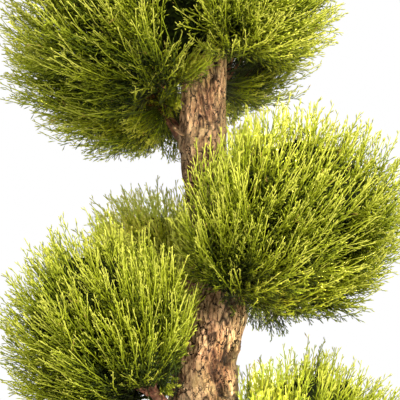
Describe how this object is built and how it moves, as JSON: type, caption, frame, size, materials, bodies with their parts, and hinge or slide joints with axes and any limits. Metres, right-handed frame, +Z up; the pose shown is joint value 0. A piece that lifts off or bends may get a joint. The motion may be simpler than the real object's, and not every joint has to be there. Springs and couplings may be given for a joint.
{
  "type": "potted cypress",
  "caption": "Cypress trained as a cloud tree: winding bark trunk carrying round feathery foliage pompons, planted in soil in a plain turned clay pot.",
  "frame": {"origin": "centre of the pot's flat base, on the surface it stands on", "axes": "+Z up along the pot's axis, +X to the right and +Y away from the viewer as the tree is usually seen"},
  "size_m": [0.4319, 0.3739, 1.1499],
  "materials": {
    "terracotta": "unglazed fired clay, matt, with faint lime bloom",
    "potting_soil": "dark crumbly peat and bark compost, matt",
    "cypress_bark": "rough fissured bark, tan plates over dark cracks",
    "young_bark": "smooth reddish brown young bark",
    "cypress_foliage": "fine scaly sprays, bright yellow green tips over dark green"
  },
  "bodies": {
    "root": {"pot": "terracotta", "potting_soil": "potting_soil", "trunk": "cypress_bark", "branch_crown": "young_bark", "branch_right_middle": "young_bark", "branch_left_front": "young_bark", "branch_left_back": "young_bark", "branch_right_lower": "young_bark", "branch_left_lower": "young_bark", "foliage_crown": "cypress_foliage", "foliage_right_middle": "cypress_foliage", "foliage_left_front": "cypress_foliage", "foliage_left_back": "cypress_foliage", "foliage_right_lower": "cypress_foliage", "foliage_left_lower": "cypress_foliage"}
  },
  "joints": []
}
